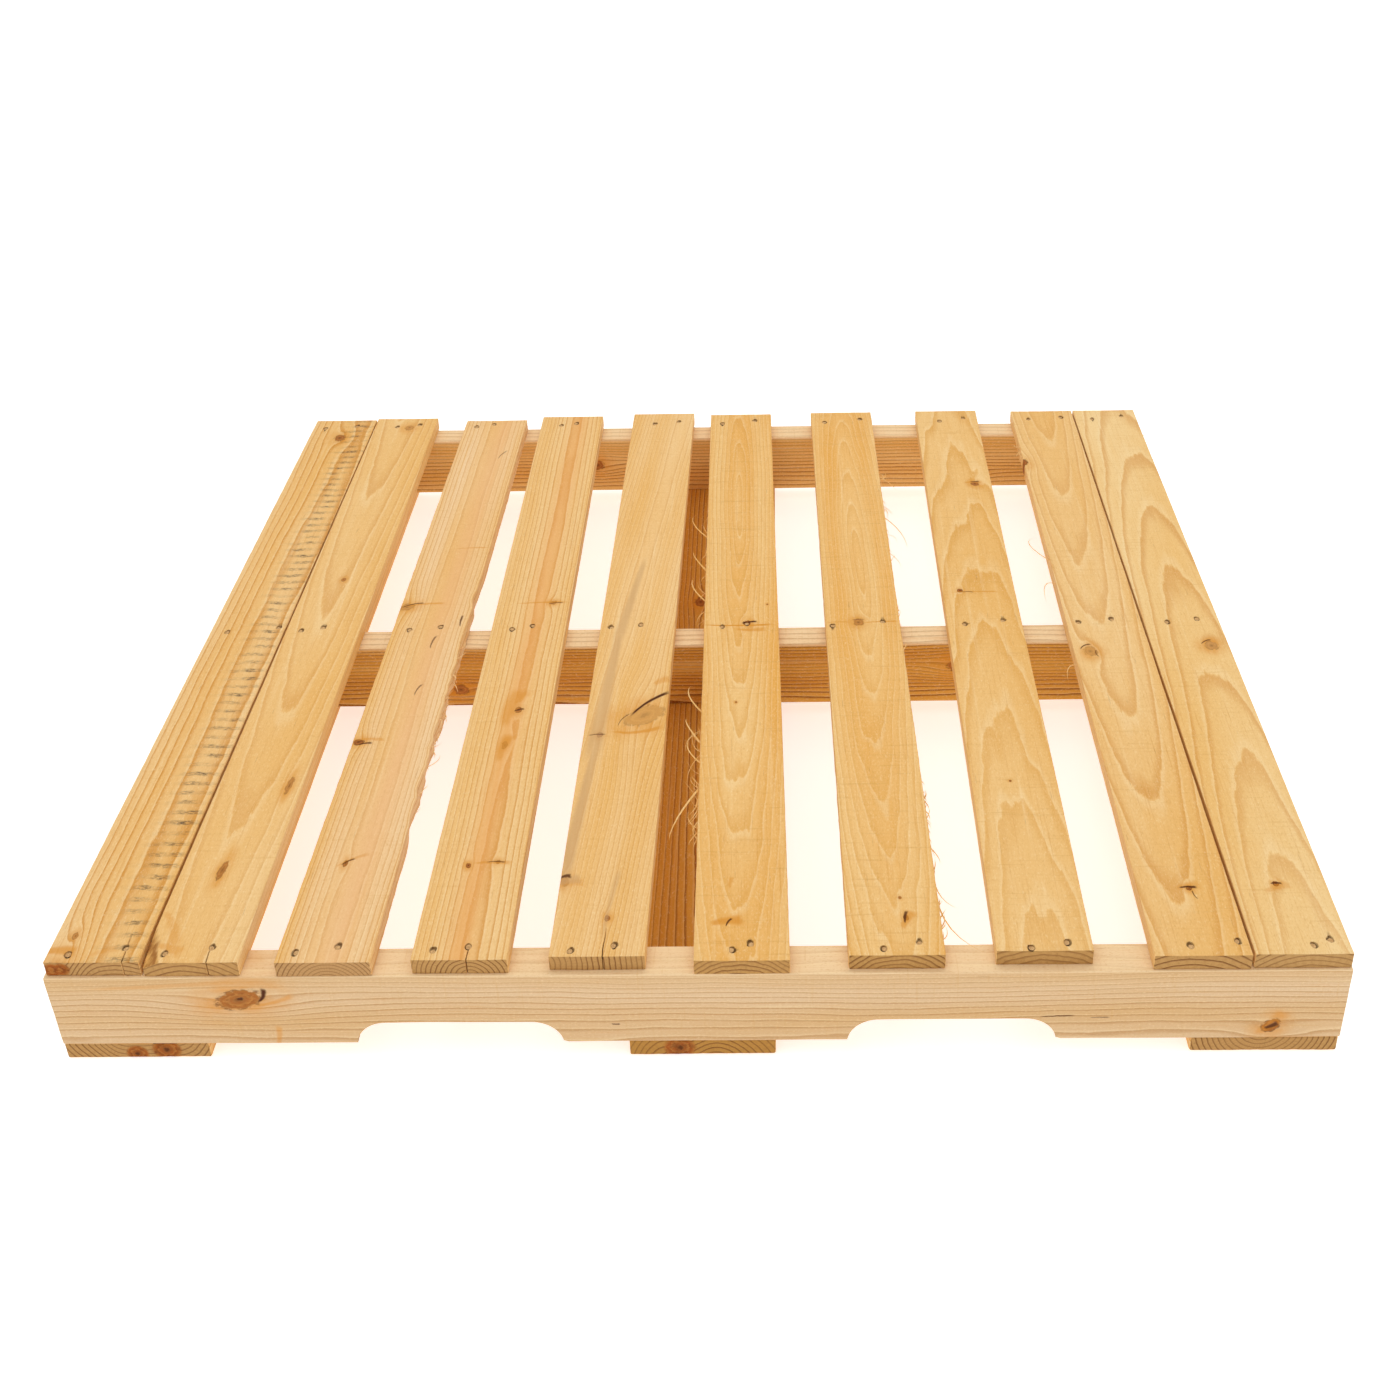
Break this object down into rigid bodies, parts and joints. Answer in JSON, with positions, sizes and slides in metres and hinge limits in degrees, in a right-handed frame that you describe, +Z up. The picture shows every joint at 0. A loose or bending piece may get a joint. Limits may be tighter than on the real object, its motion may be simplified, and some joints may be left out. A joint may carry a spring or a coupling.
{
  "type": "wooden pallet",
  "caption": "Two-deck wooden stringer pallet with a slatted top deck, spaced bottom boards and a fork-notched front stringer.",
  "frame": {"origin": "on the floor under the middle of the pallet's overall box", "axes": "+X along the stringers, +Y from the front notched stringer to the back one, +Z up"},
  "size_m": [1.2192, 1.027, 0.1255],
  "materials": {
    "deck_wood": "planed, unfinished softwood",
    "stringer_wood": "sawn, unfinished softwood",
    "bottom_wood": "sawn, unfinished softwood",
    "nail_steel": "dull bright steel"
  },
  "bodies": {
    "root": {"front_stringer": "stringer_wood", "middle_stringer": "stringer_wood", "back_stringer": "stringer_wood", "deck_board_01": "deck_wood", "deck_board_02": "deck_wood", "deck_board_03": "deck_wood", "deck_board_04": "deck_wood", "deck_board_05": "deck_wood", "deck_board_06": "deck_wood", "deck_board_07": "deck_wood", "deck_board_08": "deck_wood", "deck_board_09": "deck_wood", "deck_board_10": "deck_wood", "bottom_board_left": "bottom_wood", "bottom_board_centre": "bottom_wood", "bottom_board_right": "bottom_wood", "deck_board_01_nails": "nail_steel", "deck_board_02_nails": "nail_steel", "deck_board_03_nails": "nail_steel", "deck_board_04_nails": "nail_steel", "deck_board_05_nails": "nail_steel", "deck_board_06_nails": "nail_steel", "deck_board_07_nails": "nail_steel", "deck_board_08_nails": "nail_steel", "deck_board_09_nails": "nail_steel", "deck_board_10_nails": "nail_steel", "bottom_board_left_nails": "nail_steel", "bottom_board_centre_nails": "nail_steel", "bottom_board_right_nails": "nail_steel"}
  },
  "joints": []
}
